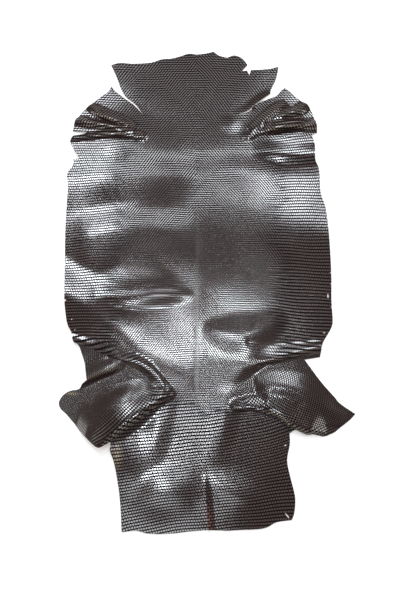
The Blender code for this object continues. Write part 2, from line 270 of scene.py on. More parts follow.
SWELLS = [
    Swell(-140, 655, 80, 60, 0, 2),  # behind the left front leg
    Swell(150, 655, 70, 60, 0, 3),  # behind the right front leg
    Swell(55, 665, 26, 22, -30, 1.2),  # end of the right neck slit
    Swell(-90, 366, 78, 40, -4, 3),  # beside the left loin
    Swell(-44, 52, 60, 46, 20, 2),  # left of the tail's slit
    Swell(62, 44, 72, 50, -10, 2),  # right of the tail's slit
    Swell(-112, 172, 80, 40, 34, 13),  # left thigh
]

# %% Creases
# Each runs along its crest, with the steep side on the left hand. rise is the height of the crest, back the
# width of the slope behind it, and drop the width of the slope on its steep side. lean is how far the crest
# hangs over towards its steep side, so that skin lies over skin where lean passes drop.
Crest = namedtuple("Crest", "x y rise back drop lean")

CREASES = {
    "right hip": [
        Crest(196, 267, 5, 14, 13, 0),
        Crest(165, 259, 5.5, 15, 12, 5),
        Crest(144, 253, 6, 17, 12, 8),
        Crest(117, 246, 5.5, 22, 12, 9),
        Crest(97, 242, 4.5, 30, 12, 8),
        Crest(80, 242, 2.8, 40, 24, 3),
        Crest(58, 247, 1.5, 50, 44, 0),
        Crest(30, 251, 1.2, 50, 48, 0),
        Crest(-8, 252, 0, 40, 40, 0),
    ],
    "left hip": [
        Crest(-42, 188, 0, 10, 12, 0),
        Crest(-48, 206, 1.5, 10, 13, 0),
        Crest(-65, 226, 2, 10, 13, 1),
        Crest(-87, 240, 2.5, 10, 12, 4),
        Crest(-119, 249, 3, 9, 11, 8),
        Crest(-143, 258, 3, 8, 10, 9),
        Crest(-162, 267, 3, 8, 9, 8),
        Crest(-194, 279, 2.5, 8, 9, 5),
    ],
    "left shin": [
        Crest(-108, 241, 0, 14, 10, 0),
        Crest(-119, 238, 6, 16, 12, 3),
        Crest(-130, 231, 9, 20, 13, 5),
        Crest(-144, 226, 10, 22, 13, 5),
        Crest(-174, 214, 8, 22, 13, 2),
    ],
    "left leg over tail": [
        Crest(-36, 203, 0, 14, 10, 0),
        Crest(-46, 189, 4, 16, 11, 5),
        Crest(-73, 167, 7, 18, 12, 11),
        Crest(-105, 144, 8, 18, 12, 12),
        Crest(-129, 125, 7, 18, 12, 10),
        Crest(-143, 113, 5, 18, 12, 6),
    ],
    "right leg over tail": [
        Crest(160, 139, 12, 34, 13, 7),
        Crest(137, 149, 11, 30, 12, 11),
        Crest(123, 160, 9, 24, 12, 11),
        Crest(107, 166, 7, 20, 11, 10),
        Crest(85, 172, 5, 16, 9, 8),
        Crest(61, 173, 3, 14, 8, 4),
        Crest(48, 172, 0, 12, 8, 0),
    ],
    "right front leg over flank": [
        Crest(212, 662, 9, 16, 13, 0),
        Crest(190, 656, 9, 16, 13, 3),
        Crest(171, 652, 9, 16, 12, 9),
        Crest(144, 649, 8, 16, 11, 10),
        Crest(112, 644, 6, 14, 11, 8),
        Crest(92, 638, 3, 12, 10, 3),
        Crest(76, 634, 0, 12, 10, 0),
    ],
    "left armpit": [
        Crest(-86, 634, 0, 12, 9, 0),
        Crest(-100, 635, 4, 12, 10, 3),
        Crest(-128, 637, 6, 12, 10, 8),
        Crest(-153, 637, 6, 10, 9, 7),
        Crest(-180, 635, 5, 8, 9, 4),
        Crest(-220, 634, 3, 7, 9, 0),
    ],
    "left pleat by the neck": [
        Crest(-104, 650, 0, 12, 8, 0),
        Crest(-123, 659, 6, 14, 8, 2),
        Crest(-155, 671, 9, 16, 9, 5),
        Crest(-172, 681, 7, 16, 9, 4),
        Crest(-184, 694, 3, 14, 9, 1),
        Crest(-196, 704, 0, 12, 9, 0),
    ],
    "left pleat to the toes": [
        Crest(-100, 648, 0, 8, 8, 0),
        Crest(-125, 651, 5, 9, 8, 1),
        Crest(-165, 658, 7, 11, 9, 2),
        Crest(-222, 671, 6, 14, 11, 1),
    ],
    "right pleat by the neck": [
        Crest(160, 704, 0, 14, 10, 0),
        Crest(142, 692, 5, 14, 9, 2),
        Crest(117, 669, 6, 14, 9, 2),
        Crest(98, 656, 3, 12, 9, 0),
        Crest(86, 650, 0, 10, 8, 0),
    ],
    "right middle pleat": [
        Crest(194, 708, 3, 14, 11, 0),
        Crest(180, 690, 6, 14, 10, 1),
        Crest(152, 679, 6, 12, 9, 2),
        Crest(132, 672, 0, 10, 8, 0),
    ],
    "right lower pleat": [
        Crest(186, 668, 0, 9, 7, 0),
        Crest(171, 665, 5, 9, 7, 1),
        Crest(144, 661, 6, 9, 7, 2),
        Crest(122, 654, 0, 8, 7, 0),
    ],
}

# %% Ridges, written like creases, but wide and soft
RIDGES = {
    "neck": [
        Crest(250, 606, 2, 70, 50, 0),
        Crest(120, 612, 2, 70, 50, 0),
        Crest(0, 614, 1.5, 70, 50, 0),
        Crest(-120, 620, 1.5, 70, 50, 0),
        Crest(-250, 624, 1.5, 70, 50, 0),
    ],
    "left loin to hip": [
        Crest(-20, 205, 0, 60, 30, 0),
        Crest(-48, 229, 2, 80, 40, 0),
        Crest(-103, 271, 5, 90, 66, 0),
        Crest(-135, 303, 7, 76, 88, 0),
        Crest(-197, 341, 8, 64, 100, 0),
        Crest(-240, 364, 8, 64, 100, 0),
    ],
    "left loin": [
        Crest(-4, 352, 0, 14, 12, 0),
        Crest(-50, 350, 2, 16, 20, 0),
        Crest(-110, 345, 2, 16, 20, 0),
        Crest(-160, 350, 0, 14, 12, 0),
    ],
    "right loin": [
        Crest(140, 318, 0, 20, 14, 0),
        Crest(118, 306, 1.0, 30, 24, 0),
        Crest(90, 292, 2.0, 38, 34, 0),
        Crest(60, 288, 2.2, 38, 36, 0),
        Crest(36, 292, 1.6, 30, 30, 0),
        Crest(10, 302, 0, 16, 20, 0),
    ],
    "left flank": [
        Crest(10, 458, 0, 40, 120, 0),
        Crest(-30, 458, 2, 50, 200, 0),
        Crest(-110, 464, 3, 56, 200, 0),
        Crest(-170, 450, 3, 56, 200, 0),
        Crest(-204, 444, 1, 50, 200, 0),
        Crest(-240, 440, 0, 50, 200, 0),
    ],
    "left shoulder": [
        Crest(0, 566, 0, 80, 40, 0),
        Crest(-60, 566, 3, 120, 70, 0),
        Crest(-240, 560, 3, 120, 70, 0),
    ],
    "right shoulder": [
        Crest(212, 604, 3, 30, 22, 0),
        Crest(160, 602, 3, 30, 22, 0),
        Crest(125, 606, 2, 26, 20, 0),
        Crest(95, 612, 0, 20, 14, 0),
    ],
    "right flank": [
        Crest(250, 440, 4, 130, 200, 0),
        Crest(190, 448, 4, 120, 200, 0),
        Crest(120, 470, 3, 110, 200, 0),
        Crest(60, 508, 2, 90, 180, 0),
        Crest(10, 545, 0, 60, 120, 0),
    ],
    "right thigh": [
        Crest(88, 199, 0, 30, 24, 0),
        Crest(108, 204, 6, 42, 34, 0),
        Crest(148, 197, 8, 44, 38, 0),
        Crest(180, 181, 7, 36, 32, 0),
        Crest(205, 169, 3, 26, 24, 0),
        Crest(222, 160, 0, 20, 20, 0),
    ],
    "tail left": [
        Crest(-150, 30, 0, 80, 20, 0),
        Crest(-158, 80, 8, 96, 20, 0),
        Crest(-160, 120, 9, 98, 20, 0),
        Crest(-160, 150, 5, 96, 20, 0),
        Crest(-155, 185, 0, 80, 20, 0),
    ],
}

# %% [markdown]
# ## From table to ring
#
# A Catmull-Rom curve passes through every row of a table, so the rows can be read straight off the object.
# Where two corners meet it is cut straight. The small nicks that the pins and the knife left in the flanks
# are added to the ring afterwards, each as a V with its tip inside the skin.

# %% Curves through table rows
def curve_through(rows, step):
    """The rows' numbers at places not more than step apart, on a smooth curve through all of them."""
    rows = np.array(rows, dtype=float)
    padded = np.vstack([2 * rows[0] - rows[1], rows, 2 * rows[-1] - rows[-2]])
    places = []
    for before, start, end, after in zip(padded, padded[1:], padded[2:], padded[3:]):
        pieces = max(1, math.ceil(np.hypot(*(end - start)[:2]) / step))
        for share in np.arange(pieces) / pieces:
            pull = 2 * start + (end - before) * share
            bow = (2 * before - 5 * start + 4 * end - after) * share**2
            turn = (3 * start - before - 3 * end + after) * share**3
            places.append((pull + bow + turn) / 2)
    places.append(rows[-1])
    return np.array(places)


def cut_edge_points():
    """The cut edge as one closed ring: curves between the corners, straight where two corners meet."""
    corners = [i for i, cut in enumerate(CUT_EDGE) if cut.bend == "corner"]
    ring = []
    for first, last in zip(corners, corners[1:] + [corners[0] + len(CUT_EDGE)]):
        run = [CUT_EDGE[i % len(CUT_EDGE)][:2] for i in range(first, last + 1)]
        ring.extend(curve_through(run, EDGE_STEP)[:-1])
    return np.array(ring)


ring = cut_edge_points()
print("points round the cut edge:", len(ring))

# %% Nicks in the cut edge: x and y of each mouth, its width, and how deep it goes
Nick = namedtuple("Nick", "x y width depth")
NICKS = [
    Nick(-207, 338, 4, 3.5),
    Nick(-207, 354, 3, 5),
    Nick(214, 386, 2, 3),
    Nick(213, 368, 2, 2.5),
    Nick(211, 333, 2, 2.5),
    Nick(-211, 560, 3, 3),
    Nick(152, 782, 2, 6),
]


def nicked(ring, nick):
    """The ring with one V let into it, where it passes nearest to the nick's mouth."""
    ahead = np.roll(ring, -1, axis=0)
    middle = (ring + ahead) / 2
    i = np.hypot(*(middle - (nick.x, nick.y)).T).argmin()
    along = (ahead[i] - ring[i]) / np.hypot(*(ahead[i] - ring[i]))
    inward = np.array([along[1], -along[0]])
    mouth = np.outer((-1, 1), along * nick.width / 2)
    corners = middle[i] + [mouth[0], inward * nick.depth, mouth[1]]
    return np.insert(ring, i + 1, corners, axis=0)


for nick in NICKS:
    ring = nicked(ring, nick)


# %% [markdown]
# ## The flat sheet
#
# Leather bends everywhere, so the sheet needs small even cells. Filling an outline with triangles gives
# uneven ones that shine in facets. Here one face is made inside the ring, then `bisect_plane` slices it like
# a tray of fudge, first in rows, then in columns. Every cut leaves clean square cells, and the edge keeps its
# shape.

# %% Slice the cut skin into cells
SAME_POINT = 0.01  # points nearer than this to a slice are taken to lie on it


def slice_up(bm, direction, low, high):
    """Cuts across the sheet, one cell apart, square to the direction."""
    for place in np.arange(low + CELL / 2, high, CELL):
        geometry = bm.verts[:] + bm.edges[:] + bm.faces[:]
        plane = {"plane_co": direction * place, "plane_no": direction}
        bmesh.ops.bisect_plane(bm, geom=geometry, dist=SAME_POINT, **plane)


bm = bmesh.new()
bm.faces.new([bm.verts.new((x, y, 0)) for x, y in ring])
(left, bottom), (right, top) = ring.min(axis=0), ring.max(axis=0)
slice_up(bm, Vector((0, 1, 0)), bottom, top)
slice_up(bm, Vector((1, 0, 0)), left, right)
print("cells in the sheet:", len(bm.faces))

# %% [markdown]
# ## Pin holes
#
# A skin is pinned or toggled out flat while it dries, which leaves small holes near the edge, some of them
# torn to short slits. A Boolean would be slow on so fine a sheet. Dropping the cells under the hole and
# pulling the rim of the gap onto an ellipse does the same in a few lines.

# %% Pin holes: middle, half length, half width, and turn in degrees
Hole = namedtuple("Hole", "x y long wide turn")
HOLES = [
    Hole(-125.4, 734.5, 1.3, 1.1, 0),
    Hole(-206.2, 545.8, 1.4, 1.2, 0),
    Hole(-212.0, 482.2, 1.1, 1.1, 0),
    Hole(-206.1, 410.7, 1.2, 1.1, 0),
    Hole(-193.8, 310.2, 1.2, 1.2, 0),
    Hole(-188.0, 294.0, 1.1, 1.0, 0),
    Hole(206.0, 350.0, 4.2, 1.3, 88),
    Hole(196.5, 290.4, 2.6, 1.0, -12),
    Hole(129.4, 120.7, 2.2, 1.0, 20),
    Hole(127.8, 23.8, 5.6, 0.9, -52),
]


# %% Open the holes
SLACK = 0.45  # a cell goes when its middle is in the hole, or outside it by up to this share of a cell
DEAD_CENTRE = 0.05  # a point still nearer the middle, as a share of the hole, has no clear way out of it


def open_hole(bm, hole):
    """Drops the cells under the hole and pulls the rim of the gap onto the hole's ellipse."""
    turn = math.radians(hole.turn)
    along = Vector((math.cos(turn), math.sin(turn), 0))
    across = Vector((-along.y, along.x, 0))
    middle = Vector((hole.x, hole.y, 0))

    def spread(place, room=0.0):
        off = place - middle
        return math.hypot(off.dot(along) / (hole.long + room), off.dot(across) / (hole.wide + room))

    nearest = min(bm.faces, key=lambda face: (face.calc_center_median() - middle).length)
    under = {face for face in bm.faces if spread(face.calc_center_median(), CELL * SLACK) < 1} | {nearest}
    rim = {vert for face in under for vert in face.verts}
    bmesh.ops.delete(bm, geom=list(under), context="FACES")
    for vert in rim:
        if vert.is_valid:
            vert.co = middle + (vert.co - middle) / max(spread(vert.co), DEAD_CENTRE)


for hole in HOLES:
    open_hole(bm, hole)
print("cells after the holes:", len(bm.faces))

# %% [markdown]
# ## Folding it as it lies
#
# Each swell is a low mound. Each crease runs along its crest, steep on one side and easy behind. Where `lean`
# is larger than the steep slope is wide, the crest hangs over and skin lies on skin, as a dried leg does. A
# cloth simulation would give other folds each time the numbers change, and these have to be where the real
# skin has them, so they are given one by one.

# %% The tables' folding rules
def crest_line(rows):
    """A crease's crest before it leans, and its left-hand direction at the same places."""
    line = curve_through(rows, CREST_STEP)
    heading = np.gradient(line[:, :2], axis=0)
    heading /= np.linalg.norm(heading, axis=1, keepdims=True)
    left = np.column_stack([-heading[:, 1], heading[:, 0]])
    flat = line.copy()
    flat[:, :2] -= left * line[:, 5:6]
    return flat, left


def lift_swell(x, y, swell):
    """The height that one swell gives at each place: full in the middle, none past its rim."""
    turn = math.radians(swell.turn)
    along = (x - swell.x) * math.cos(turn) + (y - swell.y) * math.sin(turn)
    across = (y - swell.y) * math.cos(turn) - (x - swell.x) * math.sin(turn)
    spread = (along / swell.reach_x) ** 2 + (across / swell.reach_y) ** 2
    return swell.rise * np.clip(1 - spread, 0, None) ** 2


def near_crest(x, y, rows):
    """For each place: its distance from the crest, whether it is on the steep side, and the crest there."""
    flat, left = crest_line(rows)
    starts = flat[:-1, :2]
    steps = flat[1:, :2] - starts
    from_start = np.stack([x, y], axis=-1)[:, None, :] - starts
    share = np.clip((from_start * steps).sum(-1) / (steps**2).sum(-1), 0, 1)
    off_crest = from_start - share[..., None] * steps
    nearest = np.linalg.norm(off_crest, axis=-1).argmin(axis=1)
    place = np.arange(len(x))
    share = share[place, nearest][:, None]
    off_crest = off_crest[place, nearest]
    row = flat[nearest] * (1 - share) + flat[nearest + 1] * share
    side = left[nearest] * (1 - share) + left[nearest + 1] * share
    return np.linalg.norm(off_crest, axis=1), (off_crest * side).sum(axis=1) > 0, row, side


# %% How far the tables move each place
def fold_crease(x, y, rows):
    """How far one crease moves each place: sideways in x and y, and up."""
    distance, on_steep_side, row, side = near_crest(x, y, rows)
    rise, back, drop, lean = row[:, 2:].T
    reach = np.clip(distance / np.where(on_steep_side, drop, back), 0, 1)
    weight = (1 - reach**ROUNDNESS) ** 2
    return np.column_stack([lean * weight * side[:, 0], lean * weight * side[:, 1], rise * weight])


def lay_down(x, y):
    """Flat places of the cut skin to their places on the table, swollen and creased."""
    laid = np.column_stack([x, y, np.zeros(len(x))])
    for swell in SWELLS:
        laid[:, 2] += lift_swell(x, y, swell)
    for table in (RIDGES, CREASES, SLIGHT_FOLDS, LAPS):
        for rows in table.values():
            laid += fold_crease(x, y, rows)
    laid[:, 2] += ripples(x, y)
    return laid


# %% [markdown]
# ### Folds too slight for the solid
#
# A glazed skin shows its lamps like a mirror, so a fold of one millimetre decides where a pale patch ends.
# The solid can do without these. They are written like ridges, and none is higher than 1.4 mm.

# %% Slight folds
SLIGHT_FOLDS = {
    "spine": [
        Crest(0, 560, 0, 6, 6, 0),
        Crest(0, 460, 0.1, 6, 6, 0),
        Crest(0, 200, 0.1, 6, 6, 0),
        Crest(0, 170, 0, 6, 6, 0),
    ],
    "left of the tail": [
        Crest(-40, 214, 0, 36, 24, 0),
        Crest(-47, 190, 1.4, 40, 28, 0),
        Crest(-60, 140, 1.4, 44, 28, 0),
        Crest(-68, 105, 0.7, 36, 24, 0),
        Crest(-72, 85, 0, 24, 16, 0),
    ],
    "right of the tail's spine": [
        Crest(50, 215, 0, 34, 20, 0),
        Crest(44, 190, 0.8, 38, 26, 0),
        Crest(38, 150, 0.9, 36, 26, 0),
        Crest(32, 115, 0.4, 30, 20, 0),
        Crest(30, 95, 0, 20, 16, 0),
    ],
    "right of the tail": [
        Crest(137, 36, 0.5, 28, 22, 0),
        Crest(104, 38, 1.1, 30, 22, 0),
        Crest(64, 50, 1.1, 32, 24, 0),
        Crest(36, 68, 0.8, 30, 22, 0),
        Crest(20, 90, 0.3, 24, 18, 0),
        Crest(12, 110, 0, 20, 16, 0),
    ],
}

# %% [markdown]
# ### Slits that lie closed
#
# The knife cut free the legs and slit the tail. On the real skin the edges of such a cut lie over each other,
# so that no table shows between them. Each lap is written like a crease whose crest is the cut edge itself.
# It has no steep side to speak of, so it moves one flap alone.

# %% Laps, written like creases
LAPS = {
    "front leg under the head": [
        Crest(66, 683, 0, 14, 0.3, 0),
        Crest(89.8, 690.2, 0, 14, 0.3, 2.5),
        Crest(100, 702.4, 0, 14, 0.3, 4.5),
        Crest(113.2, 711.4, 0, 14, 0.3, 3),
        Crest(126, 716, 0, 14, 0.3, 0),
    ],
    "head over the front leg": [
        Crest(129, 727, 0.5, 14, 0.3, 0),
        Crest(117, 717, 2, 14, 0.3, 0),
        Crest(100, 703, 2, 14, 0.3, 0),
        Crest(89, 692, 1.6, 14, 0.3, 0),
        Crest(66, 683, 0, 14, 0.3, 0),
    ],
    "right of the tail over the left": [
        Crest(15.5, 5, 1.8, 6, 0.3, 2.5),
        Crest(14, 34, 1.8, 6, 0.3, 2.5),
        Crest(12.5, 58, 1.5, 6, 0.3, 1.5),
        Crest(10.5, 76, 0.3, 6, 0.3, 0),
    ],
}

# %% [markdown]
# ### Waves
#
# Nothing on a skin is ruler straight. Sums of a few sine waves, whose lengths share no common measure, wander
# like something grown. They ripple the sheet here, and later they sway the rows of scales and the borders
# between the patterns. Nothing is drawn at random, so each run gives the same skin.

# %% Waves: height, the millimetres that the wave takes for one radian across and down, and where it starts
Wave = namedtuple("Wave", "height across down start")
LEVEL = math.inf  # a wave with this across or down doesn't change in that direction


def waves(x, y, *rows):
    """The sum of some waves at each place."""
    return sum(wave.height * np.sin(x / wave.across + y / wave.down + wave.start) for wave in rows)


RIPPLE = 0.22  # half the height of the faint ripples that leather keeps when it lies flat


def ripples(x, y):
    """The ripples' height: two sets of long waves that cross."""
    return RIPPLE * (1 + waves(x, y, Wave(1, 19, 47, 1)) * waves(x, y, Wave(1, -60, 21, 0)))


# %% The flat sheet becomes a mesh, with its scale side up and its cut edge sharp
skin = bpy.data.meshes.new("scaled_skin")
bm.faces.ensure_lookup_table()
if bm.faces[0].normal.z < 0:
    bmesh.ops.reverse_faces(bm, faces=bm.faces)
for edge in bm.edges:
    edge.smooth = not edge.is_boundary
bm.to_mesh(skin)
bm.free()
skin.shade_smooth()

# %% Fold the sheet
count = len(skin.vertices)
flat = np.zeros(count * 3, np.float32)
skin.vertices.foreach_get("co", flat)
x, y = flat.reshape(count, 3)[:, :2].astype(float).T
laid = lay_down(x, y)
middle = (laid.min(axis=0) + laid.max(axis=0)) / 2
middle[2] = 0
print("middle of the laid skin, in millimetres:", middle.round(2), "highest:", laid[:, 2].max().round(1))
skin.vertices.foreach_set("co", ((laid - middle) * MM).astype(np.float32).ravel())
skin.update()

# %% [markdown]
# ## Rows of scales
#
# Scales are far too many to model one by one, and on the real skin they stand only a fraction of a millimetre
# proud. What matters is how their rows run. So every point of the sheet carries its own row and column count,
# worked out in the flat cut, and the material turns those counts into relief. Three patterns cover the skin:
# beads whose rows slant towards the spine on both sides, level tiles on the flanks and the tail, and the
# coarser net of the hind legs, whose rows curve round the root of the leg.

# %% Beads of the back and the head: row counts
SWAY = [Wave(1.6, 67, 31, 0), Wave(0.7, -19, 11.3, 0)]
HEAVE = [Wave(1.5, 36, -83, 1), Wave(0.6, 12.7, 23, 0)]
BEAD_ACROSS, BEAD_DOWN = 0.235, 0.172  # slanting rows in a millimetre, across the skin and down it
BEAD_LEVEL = 0.255  # level rows through the same beads, in a millimetre
BEAD_GROWTH = 0.0007  # the beads grow towards the head, by this share a millimetre
MIDDLE_OF_BACK = 460  # the y at which the beads have the sizes above


def wander(x, y):
    """The same places, moved a little so that no row is ruler straight."""
    return x + waves(x, y, *SWAY), y + waves(x, y, *HEAVE)


def bead_counts(x, y):
    """Row counts of the back's beads: falling to the right, falling to the left, and level."""
    x, y = wander(x, y)
    up_the_back = y - MIDDLE_OF_BACK
    across = BEAD_ACROSS * x * (1 - BEAD_GROWTH * up_the_back)
    grown_y = y - BEAD_GROWTH / 2 * up_the_back**2
    down = BEAD_DOWN * grown_y
    return across + down, across - down, BEAD_LEVEL * grown_y


# %% Tiles of the flanks and the tail: row and column counts
TILE_WIDTH = 3.7
TILE_ROW, TAIL_END_ROW = 4.75, 3.9  # rows of tiles on the flanks and upper tail, and at the tail's end
TAIL_TOP, TAIL_TURNS = 240, 80  # the rows turn level over this many millimetres down from the tail's top
TAIL_END = 110  # below this y the rows are those of the tail's end
Climb = namedtuple("Climb", "slope bow")
TOP_CLIMB, END_CLIMB = Climb(0.14, 0.0004), Climb(0.12, -0.0007)  # how the tail's rows climb to the right
RIGHT_FAN = 0.0006  # the rows of the right flank fan out from the middle of the back
LEFT_SLOPE = 0.04


def tile_counts(x, y):
    """Row and column counts of the level tiles."""
    x, y = wander(x, y)
    at_end = np.clip(1 - y / TAIL_END, 0, 1)
    top = TOP_CLIMB.slope * x + TOP_CLIMB.bow * x**2
    end = END_CLIMB.slope * x + END_CLIMB.bow * x**2
    on_tail = np.clip((TAIL_TOP - y) / TAIL_TURNS, 0, 1)
    climb = on_tail * (top * (1 - at_end) + end * at_end)
    fan = (1 - on_tail) * np.where(x > 0, RIGHT_FAN * x * (y - MIDDLE_OF_BACK), LEFT_SLOPE * x)
    level = y - climb - fan - TAIL_END
    return level / np.where(level > 0, TILE_ROW, TAIL_END_ROW), x / TILE_WIDTH


# %% Net of the hind legs: row counts
NET_ROW, NET_COLUMN = 3.1, 2.6
Leg = namedtuple("Leg", "root_x root_y out_x out_y")  # its root, and the direction in which it points
RIGHT_LEG, LEFT_LEG = Leg(65, 212, 0.43, 0.90), Leg(-60, 250, 0.68, -0.73)


def leg_counts(x, y):
    """Row counts of the hind legs' net: one round the root of the leg, one along it."""
    x, y = wander(x, y)
    root_x, root_y, out_x, out_y = [np.where(x > 0, *pair) for pair in zip(RIGHT_LEG, LEFT_LEG)]
    round_root = np.hypot(x - root_x, y - root_y) / NET_ROW
    return round_root, (x * out_x + y * out_y) / NET_COLUMN


# %% [markdown]
# ### Where each pattern holds
#
# On the skin one kind of scale passes into the next along an uneven border. So each pattern has a share
# between 0 and 1 at every point, which fades across the border, and waves push the border to and fro.

# %% Shares of the patterns
NET_BORDER = (-2, 8)  # how far past a leg's fold the net starts and is full
NET_INNER_BORDER = (55, 80)  # the same outwards from the spine
FLANK_BORDER = (100, 165)
FLANK_BOTTOM, FLANK_TOP = (215, 245), (628, 650)
TAIL_BORDER = (160, 200)
FLANK_WAVES = [Wave(9, LEVEL, 23, 0), Wave(5, 40, 9.1, 0)]
TAIL_WAVES = [Wave(11, 27, LEVEL, 0.5), Wave(5, 8.3, LEVEL, 0)]


def fade(value, start, end):
    """0 before start, 1 past end, smooth between."""
    share = np.clip((value - start) / (end - start), 0, 1)
    return share * share * (3 - 2 * share)


def crest_y(x, right_crease, left_crease):
    """The y of a crest at each x of the flat cut: of one crease right of the spine, of another left of it."""
    crests = []
    for name in (right_crease, left_crease):
        flat, _ = crest_line(CREASES[name])
        order = flat[:, 0].argsort()
        crests.append(np.interp(x, flat[order, 0], flat[order, 1]))
    return np.where(x > 0, *crests)


def leg_share(x, y):
    """1 on the hind legs, between the hip's fold and the fold over the tail."""
    below_hip = crest_y(x, "right hip", "left hip") - y
    above_tail = y - crest_y(x, "right leg over tail", "left leg over tail")
    return fade(below_hip, *NET_BORDER) * fade(above_tail, *NET_BORDER) * fade(np.abs(x), *NET_INNER_BORDER)


def tile_share(x, y):
    """1 on the flanks and on the tail."""
    flank = fade(np.abs(x) + waves(x, y, *FLANK_WAVES), *FLANK_BORDER)
    flank *= fade(y, *FLANK_BOTTOM) * (1 - fade(y, *FLANK_TOP))
    tail = 1 - fade(y + waves(x, y, *TAIL_WAVES), *TAIL_BORDER)
    return np.clip(flank + tail, 0, 1)


# %% Spots with a colour of their own, and one painted warm reflection: middle and reach
Spot = namedtuple("Spot", "x y reach_x reach_y")
RUBBED_AND_SHEEN_SPOTS = [  # pale tan spots: dye rubbed off at the legs' tips, and a painted warm reflection by the tail's left edge
    Spot(-115, 108, 6, 15),
    Spot(-188, 196, 9, 2),
    Spot(-178, 742, 6, 6),
]
RAW_RIM = Spot(18, 16, 3, 15)  # the slit in the tail shows its undyed edge
SPINE_REACH = 1.8  # half the width of the paler line along the spine
SPINE_END, SPINE_START = (150, 200), (420, 560)  # where that line fades out, at the tail and at the shoulders
CREST_SHEEN_REACH = 1.5  # half the width of the pale line along a crest: a painted highlight and rubbed dye
CREST_SHEEN_AND_WEAR = 0.5  # how pale a sharp crest is painted, for its highlight and its rubbing
SHEEN_CREST_RISE = (3, 9)  # crests lower than the first get no pale line, and those past the second get all of it


def near_spot(x, y, spot):
    """1 in the middle of a spot, fading outwards."""
    return np.exp(-(((x - spot.x) / spot.reach_x) ** 2) - ((y - spot.y) / spot.reach_y) ** 2)


def rubbing_and_sheen(x, y):
    """How pale each place is painted: rubbed dye and one painted reflection in the spots, and rubbed dye with
    a painted highlight along the crests that stand highest.
    """
    rubbed_and_sheen = np.max([near_spot(x, y, spot) for spot in RUBBED_AND_SHEEN_SPOTS], axis=0)
    # Along the highest crests the pale tan is a painted highlight, with rubbed dye.
    for rows in CREASES.values():
        distance, _, row, _ = near_crest(x, y, rows)
        along_crest = np.exp(-((distance / CREST_SHEEN_REACH) ** 2))
        rubbed_and_sheen = np.maximum(rubbed_and_sheen, along_crest * fade(row[:, 2], *SHEEN_CREST_RISE) * CREST_SHEEN_AND_WEAR)
    return rubbed_and_sheen


# %% Store it all on the sheet
def store(name, *columns):
    """A vector attribute on the skin's points, padded with zeros."""
    rows = np.zeros((count, 3), np.float32)
    rows[:, : len(columns)] = np.column_stack(columns)
    attribute = skin.attributes.new(name, "FLOAT_VECTOR", "POINT")
    attribute.data.foreach_set("vector", rows.ravel())


CENTIMETRE = 10  # millimetres in one
on_leg = leg_share(x, y)
on_tile = tile_share(x, y) * (1 - on_leg)
on_spine = np.exp(-((x / SPINE_REACH) ** 2)) * fade(y, *SPINE_END) * (1 - fade(y, *SPINE_START))
store("beads", *bead_counts(x, y))
store("tiles", *tile_counts(x, y), on_spine)
store("net", *leg_counts(x, y), near_spot(x, y, RAW_RIM))
store("shares", on_tile, on_leg, rubbing_and_sheen(x, y))
store("cut", x / CENTIMETRE, y / CENTIMETRE)
print("share of the skin under tiles:", on_tile.mean().round(3))
print("share of the skin under the legs' net:", on_leg.mean().round(3))

# %% [markdown]
# ## Finishes
#
# Shader arithmetic reads best as arithmetic. `Signal` wraps one output of a node, and every operator on it
# adds the Math node that does the sum. `Finish` is a material with one method that adds any other node.

# %% Signals
class Signal:
    """One output of a node. Sums written with it add Math nodes to the same material."""

    def __init__(self, finish, socket):
        self.finish, self.socket = finish, socket

    def maths(self, operation, *others):
        """One Math node, with this signal on its first socket."""
        values = dict(enumerate([self, *others]))
        return self.finish.node("ShaderNodeMath", {"operation": operation}, values)

    def __add__(self, other):
        return self.maths("ADD", other)

    def __sub__(self, other):
        return self.maths("SUBTRACT", other)

    def __rsub__(self, other):
        return self * -1 + other

    def __mul__(self, other):
        return self.maths("MULTIPLY", other)

    def __pow__(self, other):
        return self.maths("POWER", other)

    def __mod__(self, other):
        return self.maths("FLOORED_MODULO", other)

    def __abs__(self):
        return self.maths("ABSOLUTE")

    __radd__, __rmul__ = __add__, __mul__


# %% Finishes
class Finish:
    """A material: a Principled shader with set values, and one method that adds any other node."""

    def __init__(self, name, values):
        self.material = bpy.data.materials.new(name)
        self.material.use_nodes = True
        self.tree = self.material.node_tree
        self.shader = self.tree.nodes["Principled BSDF"]
        for socket, value in values.items():
            self.feed(socket, value)

    def feed(self, socket, value):
        """Sets a socket of the shader, or links a signal to it."""
        self.join(self.shader.inputs[socket], value)

    def join(self, socket, value):
        """Sets any socket, or links a signal to it."""
        if isinstance(value, Signal):
            self.tree.links.new(value.socket, socket)
        else:
            socket.default_value = value

    def node(self, kind, settings=None, sockets=None, output=0):
        """A node of this kind, with its settings made first and its sockets set or linked."""
        node = self.tree.nodes.new(kind)
        for name, value in (settings or {}).items():
            setattr(node, name, value)
        for place, value in (sockets or {}).items():
            self.join(node.inputs[place], value)
        return Signal(self, node.outputs[output])

    def stored(self, name):
        """An attribute that the mesh carries, as a vector."""
        return self.node("ShaderNodeAttribute", {"attribute_name": name}, output="Vector")

    def columns(self, name):
        """The three columns of an attribute, each as a signal."""
        vector = self.stored(name)
        return [self.node("ShaderNodeSeparateXYZ", sockets={0: vector}, output=i) for i in range(3)]

    def ramp(self, value, low, high, to_low=0.0, to_high=1.0):
        """A smooth step of a value from low to high."""
        ends = {"Value": value, "From Min": low, "From Max": high, "To Min": to_low, "To Max": to_high}
        return self.node("ShaderNodeMapRange", {"interpolation_type": "SMOOTHSTEP"}, ends)

    def blend(self, share, first, second):
        """Two colours mixed."""
        return self.node("ShaderNodeMix", {"data_type": "RGBA"}, {0: share, 6: first, 7: second}, output=2)

    def noise(self, vector, scale, detail, roughness=0.5):
        """Cloudy values between 0 and 1: scale is how many clouds there are in a unit of the vector."""
        sockets = {"Vector": vector, "Scale": scale, "Detail": detail, "Roughness": roughness}
        return self.node("ShaderNodeTexNoise", {}, sockets)


